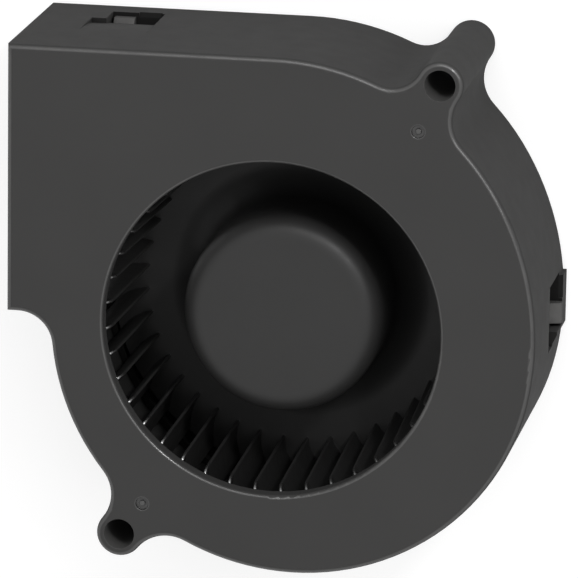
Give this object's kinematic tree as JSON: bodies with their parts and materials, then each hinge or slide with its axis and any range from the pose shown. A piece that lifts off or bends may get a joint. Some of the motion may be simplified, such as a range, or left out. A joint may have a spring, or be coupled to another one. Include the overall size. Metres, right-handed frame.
{
  "type": "dc blower fan",
  "caption": "Flat scroll blower: a forward-curved blade wheel on an outer-rotor motor draws air in through a round eye and blows it out of a side mouth.",
  "frame": {"origin": "on the rotor's axis at the rear face, where the blower rests", "axes": "+Z along the rotor axis out of the inlet eye, -X out of the outlet mouth, +Y towards the wall that runs straight into the mouth"},
  "size_m": [0.0755, 0.0753, 0.03],
  "materials": {
    "housing_plastic": "fine satin moulded black plastic",
    "impeller_plastic": "satin moulded black plastic",
    "zinc_steel": "drawn and zinc plated",
    "magnet": "bonded magnet, matt dark grey",
    "brass": "turned",
    "shaft_steel": "ground",
    "bearing_steel": "ground and polished",
    "spring_steel": "bright drawn wire",
    "cage_nylon": "moulded nylon",
    "core_steel": "stacked sheet",
    "insulator_nylon": "moulded nylon",
    "copper": "enamelled copper wire",
    "pin_tin": "tinned",
    "board": "green solder resist",
    "chip": "moulded epoxy",
    "capacitor": "moulded epoxy",
    "resistor": "glazed"
  },
  "bodies": {
    "housing": {"front_housing": "housing_plastic", "rear_housing": "housing_plastic", "bearing_tube": "brass", "stator_core": "core_steel", "front_insulator": "insulator_nylon", "rear_insulator": "insulator_nylon", "coil_1": "copper", "coil_2": "copper", "coil_3": "copper", "coil_4": "copper", "winding_pins": "pin_tin", "drive_board": "board", "hall_sensor": "chip", "driver_chip": "chip", "capacitor": "capacitor", "resistors": "resistor", "lower_outer_race": "bearing_steel", "lower_bearing_shields": "zinc_steel", "upper_outer_race": "bearing_steel", "upper_bearing_shields": "zinc_steel"},
    "rotor": {"impeller": "impeller_plastic", "rotor_yoke": "zinc_steel", "magnet_ring": "magnet", "shaft_bush": "brass", "shaft": "shaft_steel", "retaining_ring": "spring_steel", "preload_spring": "spring_steel", "lower_inner_race": "bearing_steel", "upper_inner_race": "bearing_steel"},
    "lower_balls": {"lower_bearing_balls": "bearing_steel", "lower_ball_cage": "cage_nylon"},
    "upper_balls": {"upper_bearing_balls": "bearing_steel", "upper_ball_cage": "cage_nylon"}
  },
  "joints": [
    {"name": "rotor_spin", "type": "hinge", "parent": "housing", "child": "rotor", "pos_m": [0, 0, 0.0115], "axis": [0, 0, 1], "continuous": true},
    {"name": "lower_ball_roll", "type": "hinge", "parent": "housing", "child": "lower_balls", "pos_m": [0, 0, 0.0056], "axis": [0, 0, 1], "continuous": true},
    {"name": "upper_ball_roll", "type": "hinge", "parent": "housing", "child": "upper_balls", "pos_m": [0, 0, 0.0152], "axis": [0, 0, 1], "continuous": true}
  ],
  "couplings": [
    {"joint": "lower_ball_roll", "follows": "rotor_spin", "ratio": 0.36364},
    {"joint": "upper_ball_roll", "follows": "rotor_spin", "ratio": 0.36364}
  ]
}
